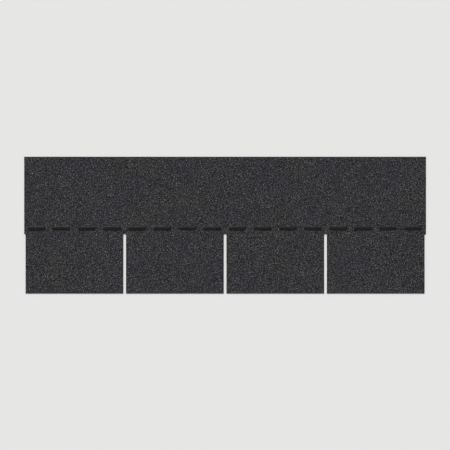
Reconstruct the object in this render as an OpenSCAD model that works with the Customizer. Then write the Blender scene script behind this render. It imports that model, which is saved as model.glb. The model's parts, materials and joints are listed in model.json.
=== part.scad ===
// Asphalt strip shingle with rectangular tabs.
// The strip lies flat, back down. X runs along the strip, -Y is the butt edge of the tabs and +Z is the
// mineral-surfaced face. The origin is on the back, at the middle of the strip.

/* [Strip] */
// Overall length of the strip
strip_l = 1000; // [800:1:1250]
// Overall height of the strip, from the butt edge to the top edge
strip_h = 340; // [280:1:420]
// Overall thickness, from the back to the tops of the granules
strip_t = 3; // [2.4:0.1:4.5]

/* [Tabs] */
// Number of tabs along the strip
tab_count = 4; // [2:1:5]
// Height of each tab that stays in view once the next course is laid
exposure = 145; // [110:1:180]
// Width of the slot between two tabs
slot_w = 7; // [5:0.5:12]
// How far each slot runs on past the exposed height
slot_over = 3; // [0:0.5:8]

/* [Self-seal line] */
// Number of adhesive dabs above each tab
dabs_per_tab = 4; // [2:2:4]
// Clear gap between two dabs
dab_gap = 17.5; // [13:0.5:22]
// Width of a dab
dab_w = 10; // [6:0.5:16]
// Height that a dab stands above the face
dab_h = 0.8; // [0.5:0.1:1.5]
// Clear distance from the slot ends up to the dabs
seal_gap = 9; // [5:0.5:15]

/* [Release film] */
// Width of the film on the back
film_w = 26; // [16:1:40]
// Thickness of the film
film_t = 0.1; // [0.05:0.05:0.2]

/* [Hidden] */
$fn = 48;
// How far a cutting body runs past the face that it cuts through
cut = 1;
tab_pitch = strip_l / tab_count;
butt_y = -strip_h / 2;
slot_end_y = butt_y + exposure + slot_over;
seal_y = slot_end_y + seal_gap + dab_w / 2;
dab_pitch = tab_pitch / dabs_per_tab;
dab_l = dab_pitch - dab_gap;

// Outline of one slot: straight sides from below the butt edge to a round end
module slot_outline() {
    slot_r = slot_w / 2;
    translate([-slot_r, butt_y - cut])
        square([slot_w, slot_end_y - slot_r - butt_y + cut]);
    translate([0, slot_end_y - slot_r])
        circle(r = slot_r);
}

// The slots sit at every tab pitch, and the strip is cut to length through the middle of the end ones
module strip_outline() {
    difference() {
        translate([-strip_l / 2, butt_y])
            square([strip_l, strip_h]);
        for (i = [0 : tab_count])
            translate([(i - tab_count / 2) * tab_pitch, 0])
                slot_outline();
    }
}

// Band along the strip that the film covers, on the same centre line as the dabs
module film_band(length) {
    translate([-length / 2, seal_y - film_w / 2])
        square([length, film_w]);
}

// Mat, asphalt coating and granules: one sheet, with a seat for the film in its back
module shingle_strip() {
    color("#37373a")
        difference() {
            linear_extrude(height = strip_t)
                strip_outline();
            translate([0, 0, -cut])
                linear_extrude(height = cut + film_t)
                    film_band(strip_l + 2 * cut);
        }
}

// One dab: a flat bead with round ends, centred on the origin
module dab() {
    straight = dab_l - dab_w;
    linear_extrude(height = dab_h) {
        square([straight, dab_w], center = true);
        for (side = [-1, 1])
            translate([side * straight / 2, 0])
                circle(d = dab_w);
    }
}

// The gaps between dabs fall on the slot lines and on the middles of the tabs, where the slots of the
// next course lie, so that no adhesive shows through a slot
module seal_dabs() {
    count = tab_count * dabs_per_tab;
    color("#141414")
        for (i = [0 : count - 1])
            translate([(i + 0.5 - count / 2) * dab_pitch, seal_y, strip_t])
                dab();
}

// The film is trimmed with the strip, so it ends flush at the ends and never bridges a slot
module release_film() {
    color("#c9ccd0")
        linear_extrude(height = film_t)
            intersection() {
                film_band(strip_l);
                strip_outline();
            }
}

shingle_strip();
seal_dabs();
release_film();
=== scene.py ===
import json
import math
import random

import bmesh
import bpy
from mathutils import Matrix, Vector, noise

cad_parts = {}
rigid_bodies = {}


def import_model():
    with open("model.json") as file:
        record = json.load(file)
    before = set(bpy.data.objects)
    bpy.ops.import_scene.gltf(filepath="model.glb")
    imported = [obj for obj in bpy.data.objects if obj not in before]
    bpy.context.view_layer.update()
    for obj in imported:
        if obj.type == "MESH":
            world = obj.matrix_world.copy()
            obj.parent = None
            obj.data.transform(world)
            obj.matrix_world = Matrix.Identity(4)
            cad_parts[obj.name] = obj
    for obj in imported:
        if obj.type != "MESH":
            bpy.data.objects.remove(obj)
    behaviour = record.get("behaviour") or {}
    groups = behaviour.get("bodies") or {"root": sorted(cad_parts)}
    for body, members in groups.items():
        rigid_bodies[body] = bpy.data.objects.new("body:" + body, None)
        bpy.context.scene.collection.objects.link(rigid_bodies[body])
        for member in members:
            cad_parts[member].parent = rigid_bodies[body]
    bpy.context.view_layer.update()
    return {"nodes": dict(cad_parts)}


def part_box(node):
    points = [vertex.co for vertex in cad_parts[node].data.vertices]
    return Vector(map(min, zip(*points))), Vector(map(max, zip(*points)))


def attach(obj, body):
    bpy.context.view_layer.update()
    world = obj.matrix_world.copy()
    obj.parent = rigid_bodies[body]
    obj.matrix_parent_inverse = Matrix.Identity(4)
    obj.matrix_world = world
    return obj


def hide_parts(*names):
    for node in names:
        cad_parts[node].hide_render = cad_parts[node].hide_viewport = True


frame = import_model()
noise.seed_set(1)    # without a seed, noise vectors change from run to run

# Asphalt strip shingle with rectangular tabs, lying on its back with the granules up.
# Lengths are in metres, and mm turns a length in millimetres into one.
mm = 0.001
stripLow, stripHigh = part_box("shingle_strip")
dabLow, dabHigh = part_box("seal_dabs")
filmLow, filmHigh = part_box("release_film")

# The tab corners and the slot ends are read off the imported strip's upper face.
hair = 0.01 * mm    # closer than this is the same place
hairDigits = 5      # the decimals of a metre that tell places a hair apart
packedStrip = frame["nodes"]["shingle_strip"].data
upperFace = [vert.co for vert in packedStrip.vertices if vert.co.z > stripHigh.z - hair]
tabCorners = sorted({round(co.x, hairDigits) for co in upperFace if co.y < stripLow.y + hair})
tabCount = len(tabCorners) // 2
tabPitch = (stripHigh.x - stripLow.x) / tabCount
slotRadius = (tabCorners[2] - tabCorners[1]) / 2
slotEnd = max(co.y for co in upperFace if co.y < stripHigh.y - hair)
tabMiddles = [stripLow.x + (i + 0.5) * tabPitch for i in range(tabCount)]


def linear(hexColour):
    # sRGB hex to the linear RGBA that a socket takes
    parts = [int(hexColour[i:i + 2], 16) / 255 for i in (1, 3, 5)]
    return [p / 12.92 if p <= 0.04045 else ((p + 0.055) / 1.055) ** 2.4 for p in parts] + [1.0]


def addNode(tree, kind, values=None, links=None, **settings):
    # One node with its settings, its plain socket values and what feeds its sockets.
    # A socket goes by its name, or by its number where several on a node share a name.
    node = tree.nodes.new(kind)
    for name, setting in settings.items():
        setattr(node, name, setting)
    for socket, value in (values or {}).items():
        node.inputs[socket].default_value = value
    for socket, source in (links or {}).items():
        tree.links.new(source, node.inputs[socket])
    return node


def setStops(rampNode, stops):
    # stops is a list of (position, hex colour)
    elements = rampNode.color_ramp.elements
    while len(elements) < len(stops):
        elements.new(0.5)
    for element, (position, hexColour) in zip(elements, stops):
        element.position = position
        element.color = linear(hexColour)


def newMaterial(name):
    material = bpy.data.materials.new(name)
    material.use_nodes = True
    tree = material.node_tree
    return material, tree, tree.nodes["Principled BSDF"]


def newObject(name, bm):
    mesh = bpy.data.meshes.new(name)
    bm.to_mesh(mesh)
    bm.free()
    made = bpy.data.objects.new(name, mesh)
    bpy.context.scene.collection.objects.link(made)
    return made


def asPiece(piece, slot, *replaced):
    # the piece rides with the strip and stands for the CAD nodes named
    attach(piece, "root")
    if replaced:
        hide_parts(*replaced)


def vertsIn(geometry):
    return [item for item in geometry if isinstance(item, bmesh.types.BMVert)]


def facesIn(geometry):
    return [item for item in geometry if isinstance(item, bmesh.types.BMFace)]


def once(items):
    # each item once, in an order that is the same in every run, as a set's is not
    return list(dict.fromkeys(items))


def raiseFaces(bm, faces):
    # extrudes a region and gives the new faces, leaving no old ones inside
    edges = once(edge for face in faces for edge in face.edges)
    return facesIn(bmesh.ops.extrude_face_region(bm, geom=faces + edges)["geom"])


# The granule blend from its darkest shade to its palest, shared by the large grains and the fines
charcoalBlend = [(0.0, "#040404"), (0.43, "#080808"), (0.5, "#3e3e40"), (0.8, "#5a5a5d"),
                 (0.95, "#747478"), (1.0, "#9a9aa0")]


# The die-cut sheet: fibre mat soaked in asphalt and coated on both sides

sheet = {
    "coatingTop": 1.95 * mm,    # level of the coating that the granules are pressed into
    "cutSpacing": 1.4 * mm,     # distance between points along the cut edge
    "cutRows": 4,               # rows of faces up the cut edge
    "cutTear": 0.16 * mm,       # how far the die tears the edge back
    "tearLength": 2.2 * mm,     # size of one tear
    "tearSlant": (1.2, 0.7),    # how deep it tears at the back and at the face, as shares of cutTear
    "tidyFace": 25 * mm,        # about the largest face on the flat sides
    "cutSlack": 0.001 * mm,     # a cut goes through a point this close to it
    "arcSteps": 6,              # steps in a quarter of a slot's round end
    "seatStep": 0.3 * mm,       # width of the step at the sides of the film's seat
    "fines": 1.2 * mm,          # across one of the finest granules, twice a real one, or it wouldn't show
    "fineHeight": 0.9 * mm,     # how far one stands out of the coating
    "faceDepth": 0.1 * mm,      # how far below the coating's level is still its face, not the cut edge
    "matLevel": 1.1 * mm,       # level of the glass fibre mat
    "matHalf": 0.3 * mm,        # half the mat's thickness
    "fibreLength": 3 * mm,      # the stretch of a fibre that shows at the cut edge
    "fibreWidth": 0.12 * mm,    # a bundle of fibres
    "sand": 0.9 * mm,           # across a grain of sand, twice a real one, or it wouldn't show
    "sandHeight": 0.2 * mm,     # how far one stands out of the back
    "smear": 70 * mm,           # distance over which the dusting of sand is thick or thin
}


def makeCoatedFace():
    # Filled asphalt with the finest granules pressed into it, each of its own shade. Where the die has
    # cut it, the edge is black and dull, with the pale glass fibres of the mat as a thin broken line.
    material, tree, shader = newMaterial("granuleCoatedAsphalt")
    place = addNode(tree, "ShaderNodeTexCoord")
    fines = addNode(tree, "ShaderNodeTexVoronoi", {"Scale": 1 / sheet["fines"]},
                    {"Vector": place.outputs["Object"]}, voronoi_dimensions="2D")
    shade = addNode(tree, "ShaderNodeSeparateColor", links={"Color": fines.outputs["Color"]})
    grains = addNode(tree, "ShaderNodeValToRGB", links={"Fac": shade.outputs["Red"]})
    setStops(grains, charcoalBlend)
    # The fines are darkened to about half, and to near black at their rims: partly the black asphalt
    # between them, partly painted shade in the gaps between the grains.
    binderAndShadeGaps = addNode(tree, "ShaderNodeMapRange",
                   {"From Min": 0.4, "From Max": 0.6, "To Min": 0.55, "To Max": 0.03},
                   {"Value": fines.outputs["Distance"]})
    surface = addNode(tree, "ShaderNodeVectorMath",
                      links={0: grains.outputs["Color"], 1: binderAndShadeGaps.outputs["Result"]}, operation="MULTIPLY")
    height = addNode(tree, "ShaderNodeSeparateXYZ", links={0: place.outputs["Object"]})
    length, width = sheet["fibreLength"], sheet["fibreWidth"]
    strands = addNode(tree, "ShaderNodeMapping", {"Scale": (1 / length, 1 / length, 1 / width)},
                      {"Vector": place.outputs["Object"]})
    fibre = addNode(tree, "ShaderNodeTexNoise", {"Scale": 1.0, "Detail": 2.0},
                    {"Vector": strands.outputs["Vector"]})
    inMat = addNode(tree, "ShaderNodeMath", {1: sheet["matLevel"], 2: sheet["matHalf"]},
                    {0: height.outputs["Z"]}, operation="COMPARE")
    matShare = addNode(tree, "ShaderNodeMath", links={0: inMat.outputs[0], 1: fibre.outputs["Fac"]},
                       operation="MULTIPLY")
    cut = addNode(tree, "ShaderNodeValToRGB", links={"Fac": matShare.outputs[0]})
    setStops(cut, [(0.45, "#0e0e0f"), (0.62, "#8b887f")])
    onFace = addNode(tree, "ShaderNodeMath", {1: sheet["coatingTop"] - sheet["faceDepth"]},
                     {0: height.outputs["Z"]}, operation="GREATER_THAN")
    mixed = addNode(tree, "ShaderNodeMix",
                    links={0: onFace.outputs[0], 6: cut.outputs["Color"], 7: surface.outputs["Vector"]},
                    data_type="RGBA")
    dome = addNode(tree, "ShaderNodeMath", {1: 2.0}, {0: fines.outputs["Distance"]}, operation="POWER")
    bump = addNode(tree, "ShaderNodeBump", {"Strength": 1.0, "Distance": sheet["fineHeight"]},
                   {"Height": dome.outputs[0]}, invert=True)
    tree.links.new(mixed.outputs[2], shader.inputs["Base Color"])
    tree.links.new(bump.outputs["Normal"], shader.inputs["Normal"])
    shader.inputs["Roughness"].default_value = 0.75
    shader.inputs["Specular IOR Level"].default_value = 0.3
    return material


def makeSandedBack():
    # Asphalt dusted with fine sand while hot, so that strips come apart in the pack: a dark grey, rough
    # ground with pale specks, dusted thicker in some places than in others.
    material, tree, shader = newMaterial("sandDustedAsphalt")
    place = addNode(tree, "ShaderNodeTexCoord")
    sand = addNode(tree, "ShaderNodeTexVoronoi", {"Scale": 1 / sheet["sand"]},
                   {"Vector": place.outputs["Object"]})
    speck = addNode(tree, "ShaderNodeSeparateColor", links={"Color": sand.outputs["Color"]})
    ramp = addNode(tree, "ShaderNodeValToRGB", links={"Fac": speck.outputs["Red"]})
    setStops(ramp, [(0.0, "#1b1b1c"), (0.55, "#2b2b2b"), (0.82, "#4f4d4a"), (0.94, "#8a857c")])
    smears = addNode(tree, "ShaderNodeTexNoise", {"Scale": 1 / sheet["smear"], "Detail": 4.0},
                     {"Vector": place.outputs["Object"]})
    shade = addNode(tree, "ShaderNodeMapRange", {"To Min": 0.75, "To Max": 1.2},
                    {"Value": smears.outputs["Fac"]})
    mixed = addNode(tree, "ShaderNodeVectorMath",
                    links={0: ramp.outputs["Color"], 1: shade.outputs["Result"]}, operation="MULTIPLY")
    bump = addNode(tree, "ShaderNodeBump", {"Strength": 0.7, "Distance": sheet["sandHeight"]},
                   {"Height": sand.outputs["Distance"]}, invert=True)
    tree.links.new(mixed.outputs["Vector"], shader.inputs["Base Color"])
    tree.links.new(bump.outputs["Normal"], shader.inputs["Normal"])
    shader.inputs["Roughness"].default_value = 0.85
    return material


def addTabOutline(bm):
    # one tab from the middle of one slot to the next: half of it, mirrored, as a flat face at z 0
    half, arcMiddle = tabPitch / 2, slotEnd - slotRadius
    crown = bm.verts.new((half, slotEnd, 0))
    arc = bmesh.ops.spin(bm, geom=[crown], cent=(half, arcMiddle, 0), axis=(0, 0, 1), dvec=(0, 0, 0),
                         angle=math.pi / 2, steps=sheet["arcSteps"], use_merge=False, use_duplicate=False)
    shoulder = vertsIn(arc["geom_last"])[0]
    for end, corners in ((shoulder, [(half - slotRadius, stripLow.y), (0, stripLow.y)]),
                         (crown, [(half, stripHigh.y), (0, stripHigh.y)])):
        for x, y in corners:
            end = bmesh.ops.extrude_vert_indiv(bm, verts=[end])["verts"][0]
            end.co = (x, y, 0)
    bmesh.ops.mirror(bm, geom=bm.verts[:] + bm.edges[:], axis="X", merge_dist=hair)
    bmesh.ops.remove_doubles(bm, verts=bm.verts, dist=hair)
    bmesh.ops.contextual_create(bm, geom=bm.edges[:])


def makeOutline():
    # the tabs side by side as one flat face, merged where they meet above the slots
    bm = bmesh.new()
    addTabOutline(bm)
    tab = bm.verts[:] + bm.edges[:] + bm.faces[:]
    for x in tabMiddles[1:]:
        copy = bmesh.ops.duplicate(bm, geom=tab)["geom"]
        bmesh.ops.translate(bm, vec=(x - tabMiddles[0], 0, 0), verts=vertsIn(copy))
    bmesh.ops.translate(bm, vec=(tabMiddles[0], 0, 0), verts=bm.verts)
    bmesh.ops.remove_doubles(bm, verts=bm.verts, dist=hair)
    bm.normal_update()
    if bm.faces[:][0].normal.z < 0:
        bmesh.ops.reverse_faces(bm, faces=bm.faces)
    return bm


def cutAcross(bm, axis, places):
    # cuts the whole mesh at each place along an axis
    normal = Vector([float(i == axis) for i in range(3)])
    for place in places:
        bmesh.ops.bisect_plane(bm, geom=bm.verts[:] + bm.edges[:] + bm.faces[:], dist=sheet["cutSlack"],
                               plane_co=normal * place, plane_no=normal)


def makeSheet():
    bm = makeOutline()
    for axis in (0, 1):
        low, high = stripLow[axis], stripHigh[axis]
        count = round((high - low) / sheet["tidyFace"])
        cutAcross(bm, axis, [low + (high - low) * i / count for i in range(1, count)])
    step = sheet["seatStep"]
    cutAcross(bm, 1, [filmLow.y - step, filmLow.y, filmHigh.y, filmHigh.y + step])

    # points close together along the outline, for a rough cut edge
    byCuts = {}
    for edge in bm.edges:
        if edge.is_boundary:
            byCuts.setdefault(int(edge.calc_length() / sheet["cutSpacing"]), []).append(edge)
    for cuts, edges in sorted(byCuts.items()):
        if cuts:
            bmesh.ops.subdivide_edges(bm, edges=edges, cuts=cuts)

    # up from the back face, row by row
    top = bm.faces[:]
    for _ in range(sheet["cutRows"]):
        top = raiseFaces(bm, top)
        bmesh.ops.translate(bm, vec=(0, 0, sheet["coatingTop"] / sheet["cutRows"]),
                            verts=once(vert for face in top for vert in face.verts))
    bmesh.ops.recalc_face_normals(bm, faces=bm.faces)

    # the die tears the cut edge a little, more towards the back
    atBack, atFace = sheet["tearSlant"]
    outward = {}
    for face in bm.faces:
        if abs(face.normal.z) < 0.5:    # a face of the cut edge
            for vert in face.verts:
                outward[vert] = outward.get(vert, Vector()) + face.normal
    for vert, direction in outward.items():
        # noise goes from -1 to 1, and a share from 0 to 1
        depth = (0.5 + 0.5 * noise.noise(vert.co / sheet["tearLength"])) * sheet["cutTear"]
        depth *= atBack + (atFace - atBack) * vert.co.z / sheet["coatingTop"]
        vert.co -= direction.normalized() * depth

    # the seat that the film is pressed into
    for vert in bm.verts:
        if vert.co.z < hair and filmLow.y - hair < vert.co.y < filmHigh.y + hair:
            vert.co.z = filmHigh.z
    bmesh.ops.triangulate(bm, faces=bm.faces)
    for face in bm.faces:
        face.material_index = int(face.normal.z < -0.5)    # the back is sanded
    piece = newObject("asphaltSheet", bm)
    piece.data.materials.append(makeCoatedFace())
    piece.data.materials.append(makeSandedBack())
    asPiece(piece, "granule_sheet", "shingle_strip")


# The granules, each one a closed angular grain pressed into the coating

granules = {
    "spacing": 1.72 * mm,             # least distance between two grains
    "tries": 9,                       # places tried in each square as wide as the spacing
    "radius": (1.3 * mm, 1.95 * mm),  # out to the furthest corner, twice a real one, or it wouldn't show
    "flatness": 0.48,                 # the share of a grain's height that the press roll leaves
    "tilt": 0.45,                     # how far a grain leans, in radians
    "seat": 0.62,                     # a grain's middle is this share of its radius below the strip's top
    "sink": 0.25 * mm,                # how much deeper than its neighbours a grain may sit
    "bareEdge": 1.5 * mm,             # width along the cut edge where the die has knocked grains off
    "kinds": 12,                      # different grain shapes
    "blockHeight": 1.5,               # of the block that a grain is chipped from, for a foot of radius 1
    "blockTop": (0.6, 1.0),           # radius of the block's upper end
    "chipping": 0.34,                 # how far a grain's corners stray
    "mottle": 2.7 * mm,               # size of the light and dark mottle
    "mottleSpread": 0.25,             # how far the mottle's noise strays from its middle
    "stray": 0.1,                     # share of a grain's shade that is left to chance
    "drift": 90 * mm,                 # distance over which the blend drifts in colour
    "bakeMargin": 0.01,               # bare border of the bake map, as a share of its width
    "seed": 11,
}


def makeGranuleCoating():
    # Crushed basalt with a fired ceramic colour coat. Black and grey grains are blended to charcoal, and
    # the blend drifts a little from place to place, between violet grey and olive grey.
    material, tree, shader = newMaterial("ceramicCoatedBasalt")
    grain = addNode(tree, "ShaderNodeAttribute", attribute_name="grain")
    ramp = addNode(tree, "ShaderNodeValToRGB", links={"Fac": grain.outputs["Fac"]})
    setStops(ramp, charcoalBlend)
    place = addNode(tree, "ShaderNodeTexCoord")
    drift = addNode(tree, "ShaderNodeTexNoise", {"Scale": 1 / granules["drift"], "Detail": 2.0},
                    {"Vector": place.outputs["Object"]})
    tint = addNode(tree, "ShaderNodeValToRGB", links={"Fac": drift.outputs["Fac"]})
    setStops(tint, [(0.41, "#f1ecff"), (0.65, "#fffff3")])
    mixed = addNode(tree, "ShaderNodeVectorMath",
                    links={0: ramp.outputs["Color"], 1: tint.outputs["Color"]}, operation="MULTIPLY")
    gloss = addNode(tree, "ShaderNodeMapRange", {"To Min": 0.55, "To Max": 0.9},
                    {"Value": grain.outputs["Fac"]})
    tree.links.new(mixed.outputs["Vector"], shader.inputs["Base Color"])
    tree.links.new(gloss.outputs["Result"], shader.inputs["Roughness"])
    shader.inputs["Specular IOR Level"].default_value = 0.3
    return material


def makeGrain(number, collection):
    # a chip of crushed rock: a block of three to five sides with its corners astray, pressed flat
    chance = random.Random(granules["seed"] + number)
    bm = bmesh.new()
    bmesh.ops.create_cone(bm, cap_ends=True, segments=3 + number % 3, depth=granules["blockHeight"],
                          radius1=1.0, radius2=chance.uniform(*granules["blockTop"]))
    for vert in bm.verts:
        vert.co += Vector([chance.uniform(-1, 1) for _ in range(3)]) * granules["chipping"]
    furthest = max(vert.co.length for vert in bm.verts)
    bmesh.ops.scale(bm, vec=(1 / furthest, 1 / furthest, granules["flatness"] / furthest), verts=bm.verts)
    bmesh.ops.triangulate(bm, faces=bm.faces)
    bmesh.ops.recalc_face_normals(bm, faces=bm.faces)
    mesh = bpy.data.meshes.new(f"grain{number}")
    bm.to_mesh(mesh)
    bm.free()
    collection.objects.link(bpy.data.objects.new(f"grain{number}", mesh))


def makeScatter(grains):
    # scatters grains over the whole strip and keeps those between two corners, with a flat bake map
    tree = bpy.data.node_groups.new("granuleScatter", "GeometryNodeTree")
    for name, kind in (("Geometry", "Geometry"), ("Low", "Vector"), ("High", "Vector")):
        tree.interface.new_socket(name, in_out="INPUT", socket_type="NodeSocket" + kind)
    tree.interface.new_socket("Geometry", in_out="OUTPUT", socket_type="NodeSocketGeometry")
    given = addNode(tree, "NodeGroupInput")
    scattered = addNode(tree, "GeometryNodeDistributePointsOnFaces",
                        {"Distance Min": granules["spacing"],
                         "Density Max": granules["tries"] / granules["spacing"] ** 2,
                         "Seed": granules["seed"]},
                        {"Mesh": given.outputs["Geometry"]}, distribute_method="POISSON")
    # from one corner to the other is 0 to 1, so a point between them is within 0.5 of the middle
    place = addNode(tree, "GeometryNodeInputPosition")
    share = addNode(tree, "ShaderNodeMapRange",
                    links={"Vector": place.outputs["Position"], 7: given.outputs["Low"],
                           8: given.outputs["High"]}, data_type="FLOAT_VECTOR", clamp=False)
    fromMiddle = addNode(tree, "ShaderNodeVectorMath", {1: (0.5, 0.5, 0.5)}, {0: share.outputs["Vector"]},
                         operation="SUBTRACT")
    along = addNode(tree, "ShaderNodeSeparateXYZ", links={0: fromMiddle.outputs[0]})
    inColumn = addNode(tree, "FunctionNodeCompare", {1: 0.0, "Epsilon": 0.5}, {0: along.outputs["X"]},
                       data_type="FLOAT", operation="EQUAL")
    inRow = addNode(tree, "FunctionNodeCompare", {1: 0.0, "Epsilon": 0.5}, {0: along.outputs["Y"]},
                    data_type="FLOAT", operation="EQUAL")
    within = addNode(tree, "FunctionNodeBooleanMath", links={0: inColumn.outputs[0], 1: inRow.outputs[0]},
                     operation="AND")
    kept = addNode(tree, "GeometryNodeSeparateGeometry",
                   links={"Geometry": scattered.outputs["Points"], "Selection": within.outputs[0]})
    # a grain's highest corner comes about level with the strip's top, or a little below it
    smallest, largest = granules["radius"]
    radius = addNode(tree, "FunctionNodeRandomValue", {2: smallest, 3: largest, "Seed": 1},
                     data_type="FLOAT")
    sink = addNode(tree, "FunctionNodeRandomValue", {2: 0.0, 3: granules["sink"], "Seed": 2},
                   data_type="FLOAT")
    down = addNode(tree, "ShaderNodeMath", {1: -granules["seat"]}, {0: radius.outputs[1]},
                   operation="MULTIPLY")
    drop = addNode(tree, "ShaderNodeMath", links={0: down.outputs[0], 1: sink.outputs[1]},
                   operation="SUBTRACT")
    shift = addNode(tree, "ShaderNodeCombineXYZ", links={"Z": drop.outputs[0]})
    placed = addNode(tree, "GeometryNodeSetPosition",
                     links={"Geometry": kept.outputs["Selection"], "Offset": shift.outputs[0]})
    shapes = addNode(tree, "GeometryNodeCollectionInfo",
                     {"Collection": grains, "Separate Children": True, "Reset Children": True})
    which = addNode(tree, "FunctionNodeRandomValue", {4: 0, 5: granules["kinds"] - 1, "Seed": 3},
                    data_type="INT")
    tilt = granules["tilt"]
    turn = addNode(tree, "FunctionNodeRandomValue",
                   {0: (-tilt, -tilt, 0), 1: (tilt, tilt, math.tau), "Seed": 4}, data_type="FLOAT_VECTOR")
    instances = addNode(tree, "GeometryNodeInstanceOnPoints", {"Pick Instance": True},
                        {"Points": placed.outputs[0], "Instance": shapes.outputs[0],
                         "Instance Index": which.outputs[2], "Rotation": turn.outputs[0],
                         "Scale": radius.outputs[1]})
    # The blend is well mixed, so light and dark grains alternate and don't clump: a grain's shade is
    # mostly a mottle nearly as fine as the grains, spread about evenly from 0 to 1.
    mottle = addNode(tree, "ShaderNodeTexNoise", {"Scale": 1 / granules["mottle"], "Detail": 0.0},
                     {"Vector": place.outputs["Position"]}, noise_dimensions="2D")
    spread = granules["mottleSpread"]
    even = addNode(tree, "ShaderNodeMapRange", {"From Min": 0.5 - spread, "From Max": 0.5 + spread},
                   {"Value": mottle.outputs[0]}, interpolation_type="SMOOTHSTEP")
    chance = addNode(tree, "FunctionNodeRandomValue", {"Seed": 5}, data_type="FLOAT")
    tone = addNode(tree, "ShaderNodeMix", {0: granules["stray"]},
                   {2: even.outputs[0], 3: chance.outputs[1]}, data_type="FLOAT")
    toned = addNode(tree, "GeometryNodeStoreNamedAttribute", {"Name": "grain"},
                    {"Geometry": instances.outputs[0], "Value": tone.outputs[0]},
                    data_type="FLOAT", domain="INSTANCE")
    solid = addNode(tree, "GeometryNodeRealizeInstances", links={0: toned.outputs[0]})
    margin = granules["bakeMargin"]
    inside = addNode(tree, "ShaderNodeVectorMath",
                     {1: (1 - 2 * margin, 1 - 2 * margin, 0), 2: (margin, margin, 0)},
                     {0: share.outputs["Vector"]}, operation="MULTIPLY_ADD")
    mapped = addNode(tree, "GeometryNodeStoreNamedAttribute", {"Name": "OFBake"},
                     {"Geometry": solid.outputs[0], "Value": inside.outputs[0]},
                     data_type="FLOAT2", domain="CORNER")
    addNode(tree, "NodeGroupOutput", links={0: mapped.outputs[0]})
    return tree


def makeGranules():
    grains = bpy.data.collections.new("grainShapes")
    for number in range(granules["kinds"]):
        makeGrain(number, grains)
    scatter = makeScatter(grains)
    sockets = {item.name: item.identifier for item in scatter.interface.items_tree}

    # the grains come from a flat face at the level of their tops, kept back from the cut edge
    bm = makeOutline()
    rim = bmesh.ops.inset_region(bm, faces=bm.faces[:], thickness=granules["bareEdge"], use_boundary=True,
                                 use_even_offset=True)["faces"]
    bmesh.ops.delete(bm, geom=rim, context="FACES")
    bmesh.ops.translate(bm, vec=(0, 0, stripHigh.z), verts=bm.verts)
    bmesh.ops.triangulate(bm, faces=bm.faces)
    emitter = newObject("granuleField", bm)
    modifier = emitter.modifiers.new("scatter", "NODES")
    modifier.node_group = scatter
    coating = makeGranuleCoating()
    for number, middle in enumerate(tabMiddles, 1):
        for name, low, high in (("tab", stripLow.y, slotEnd), ("headlap", slotEnd, stripHigh.y)):
            modifier[sockets["Low"]] = (middle - tabPitch / 2, low, stripLow.z)
            modifier[sockets["High"]] = (middle + tabPitch / 2, high, stripHigh.z)
            emitter.update_tag()
            evaluated = emitter.evaluated_get(bpy.context.evaluated_depsgraph_get())
            mesh = bpy.data.meshes.new_from_object(evaluated)
            mesh.name = f"{name}Granules{number}"
            mesh.materials.clear()
            mesh.materials.append(coating)
            piece = bpy.data.objects.new(mesh.name, mesh)
            bpy.context.scene.collection.objects.link(piece)
            asPiece(piece, "granule_sheet")
            print(f"stage: {mesh.name} has {len(mesh.polygons)} faces")
    bpy.data.objects.remove(emitter)
    for grain in grains.objects[:]:
        bpy.data.objects.remove(grain)
    bpy.data.collections.remove(grains)


# The self-seal line: short beads of adhesive laid hot over the granules

seal = {
    "foot": 2.4 * mm,          # level that a bead sinks to between the granules
    "endPoints": 34,           # points round the circle that makes a bead's two ends
    "sideStep": 1.3 * mm,      # distance between points along a bead's sides
    # width and height of each ring up a bead, as shares of the bead's own
    "rings": [(1.0, 0.3), (0.97, 0.55), (0.88, 0.78), (0.74, 0.91), (0.52, 0.98), (0.25, 1.0)],
    # length and depth of the runs along a bead's edge
    "runs": [(9 * mm, 0.9 * mm), (2 * mm, 0.45 * mm)],
    "flow": 6 * mm,            # length of a swell in the adhesive
    "flowHeight": 0.4 * mm,    # and its height
}


def makeSealAsphalt():
    # Polymer modified asphalt laid down hot: black and smooth with a soft gloss, and a slow swell from
    # its flow.
    material, tree, shader = newMaterial("polymerModifiedAsphalt")
    place = addNode(tree, "ShaderNodeTexCoord")
    flow = addNode(tree, "ShaderNodeTexNoise", {"Scale": 1 / seal["flow"], "Detail": 2.0},
                   {"Vector": place.outputs["Object"]})
    ramp = addNode(tree, "ShaderNodeValToRGB", links={"Fac": flow.outputs["Fac"]})
    setStops(ramp, [(0.35, "#0b0b0b"), (0.7, "#171716")])
    bump = addNode(tree, "ShaderNodeBump", {"Strength": 0.35, "Distance": seal["flowHeight"]},
                   {"Height": flow.outputs["Fac"]})
    gloss = addNode(tree, "ShaderNodeMapRange", {"To Min": 0.32, "To Max": 0.5},
                    {"Value": flow.outputs["Fac"]})
    tree.links.new(ramp.outputs["Color"], shader.inputs["Base Color"])
    tree.links.new(gloss.outputs["Result"], shader.inputs["Roughness"])
    tree.links.new(bump.outputs["Normal"], shader.inputs["Normal"])
    shader.inputs["Specular IOR Level"].default_value = 0.3
    return material


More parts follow.
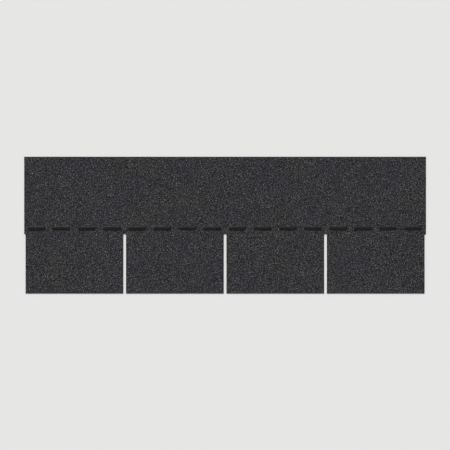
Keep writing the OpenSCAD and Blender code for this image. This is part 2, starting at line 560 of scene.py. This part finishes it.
def makeSealDabs():
    # each bead is a circle pulled apart to the middles of a packed dab's two round ends
    packed = frame["nodes"]["seal_dabs"].data
    middle = (dabLow + dabHigh) / 2
    radius = (dabHigh.y - dabLow.y) / 2
    ends = sorted({round(vert.co.x, hairDigits) for vert in packed.vertices
                   if vert.co.y > dabHigh.y - hair})
    bm = bmesh.new()
    for left, right in zip(ends[::2], ends[1::2]):
        pull = (right - left) / 2
        outline = bmesh.ops.create_circle(bm, segments=seal["endPoints"], radius=radius)["verts"]
        for vert in outline:
            vert.co.x += math.copysign(pull, vert.co.x) + (left + right) / 2
            vert.co.y += middle.y
            vert.co.z += seal["foot"]
        rim = once(edge for vert in outline for edge in vert.link_edges)
        sides = [edge for edge in rim if edge.calc_length() > pull]
        cuts = bmesh.ops.subdivide_edges(bm, edges=sides, cuts=int(2 * pull / seal["sideStep"]))
        rim += [item for item in cuts["geom"] if isinstance(item, bmesh.types.BMEdge)]
        top = bmesh.ops.contextual_create(bm, geom=once(rim))["faces"][0]
        for vert in top.verts:
            for length, depth in seal["runs"]:
                vert.co += (noise.noise_vector(vert.co / length) * depth) * Vector((1, 1, 0))
        before = 1.0
        for width, height in seal["rings"]:
            top = raiseFaces(bm, [top])[0]
            for vert in top.verts:
                spine = Vector((min(max(vert.co.x, left), right), middle.y, 0))
                vert.co.xy = (spine + (vert.co - spine) * (width / before)).xy
                vert.co.z = seal["foot"] + height * (dabHigh.z - seal["foot"])
            before = width
    bmesh.ops.recalc_face_normals(bm, faces=bm.faces)
    bmesh.ops.triangulate(bm, faces=bm.faces)
    for face in bm.faces:
        face.smooth = True
    piece = newObject("sealBeads", bm)
    piece.data.materials.append(makeSealAsphalt())
    asPiece(piece, "seal_asphalt", "seal_dabs")


# The release film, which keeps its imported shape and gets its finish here

film = {
    "creaseLength": 40 * mm,
    "creaseWidth": 2 * mm,
    "creaseHeight": 0.1 * mm,
}


def makeReleaseFilm():
    # Silicone coated polyester film pressed onto black asphalt: a glossy cool grey with fine creases
    # along the strip.
    material, tree, shader = newMaterial("siliconeCoatedPolyester")
    place = addNode(tree, "ShaderNodeTexCoord")
    length, width = film["creaseLength"], film["creaseWidth"]
    along = addNode(tree, "ShaderNodeMapping", {"Scale": (1 / length, 1 / width, 1 / width)},
                    {"Vector": place.outputs["Object"]})
    crease = addNode(tree, "ShaderNodeTexNoise", {"Scale": 1.0, "Detail": 3.0},
                     {"Vector": along.outputs["Vector"]})
    ramp = addNode(tree, "ShaderNodeValToRGB", links={"Fac": crease.outputs["Fac"]})
    setStops(ramp, [(0.3, "#a3a7ab"), (0.7, "#bfc2c5")])
    bump = addNode(tree, "ShaderNodeBump", {"Strength": 0.35, "Distance": film["creaseHeight"]},
                   {"Height": crease.outputs["Fac"]})
    tree.links.new(ramp.outputs["Color"], shader.inputs["Base Color"])
    tree.links.new(bump.outputs["Normal"], shader.inputs["Normal"])
    shader.inputs["Roughness"].default_value = 0.18
    shader.inputs["IOR"].default_value = 1.58
    return material


def finishReleaseFilm():
    materials = frame["nodes"]["release_film"].data.materials
    materials.clear()
    materials.append(makeReleaseFilm())


print("stage: sheet")
makeSheet()
print("stage: granules")
makeGranules()
print("stage: seal line")
makeSealDabs()
print("stage: release film")
finishReleaseFilm()


# Floor, light and camera

studio = {
    "floorRadius": 60.0,            # metres
    "floorPoints": 96,              # round its rim
    "floorDrop": 0.1 * mm,          # keeps the floor clear of the strip's back
    "keyFrom": (-0.35, 0.85, 0.9),  # the key light comes over the top edge, a little from the left
    "keyStrength": 3.3,
    "keyWidth": 16.0,               # degrees across, as a large softbox
    "frameWidth": 1.12,             # metres of floor across the picture
    "lens": 200.0,                  # a long lens, so that the view is nearly flat
}


def makeStudio():
    bm = bmesh.new()
    bmesh.ops.create_circle(bm, cap_ends=True, segments=studio["floorPoints"],
                            radius=studio["floorRadius"])
    bmesh.ops.translate(bm, vec=(0, 0, stripLow.z - studio["floorDrop"]), verts=bm.verts)
    floor = newObject("paleFloor", bm)
    material, _, shader = newMaterial("mattPaintedBoard")
    shader.inputs["Base Color"].default_value = linear("#e6e6e4")
    shader.inputs["Roughness"].default_value = 0.9
    floor.data.materials.append(material)

    key = bpy.data.lights.new("key", "SUN")
    key.energy = studio["keyStrength"]
    key.angle = math.radians(studio["keyWidth"])
    lamp = bpy.data.objects.new("key", key)
    lamp.rotation_euler = Vector(studio["keyFrom"]).to_track_quat("Z", "Y").to_euler()
    bpy.context.scene.collection.objects.link(lamp)

    world = bpy.data.worlds.new("studio")
    world.use_nodes = True
    tree = world.node_tree
    place = addNode(tree, "ShaderNodeTexCoord")
    height = addNode(tree, "ShaderNodeSeparateXYZ", links={0: place.outputs["Generated"]})
    ramp = addNode(tree, "ShaderNodeValToRGB", links={"Fac": height.outputs["Z"]})
    setStops(ramp, [(0.02, "#eaeaea"), (0.2, "#a8a8a9"), (0.6, "#848487")])
    tree.links.new(ramp.outputs["Color"], tree.nodes["Background"].inputs["Color"])
    bpy.context.scene.world = world

    camera = bpy.data.objects.new("camera", bpy.data.cameras.new("camera"))
    camera.data.lens = studio["lens"]
    reach = studio["frameWidth"] * studio["lens"] / camera.data.sensor_width
    camera.location = (0, (stripLow.y + stripHigh.y) / 2, stripHigh.z + reach)
    bpy.context.scene.collection.objects.link(camera)
    bpy.context.scene.camera = camera
    bpy.context.scene.view_settings.view_transform = "Standard"


makeStudio()
print("stage: studio")
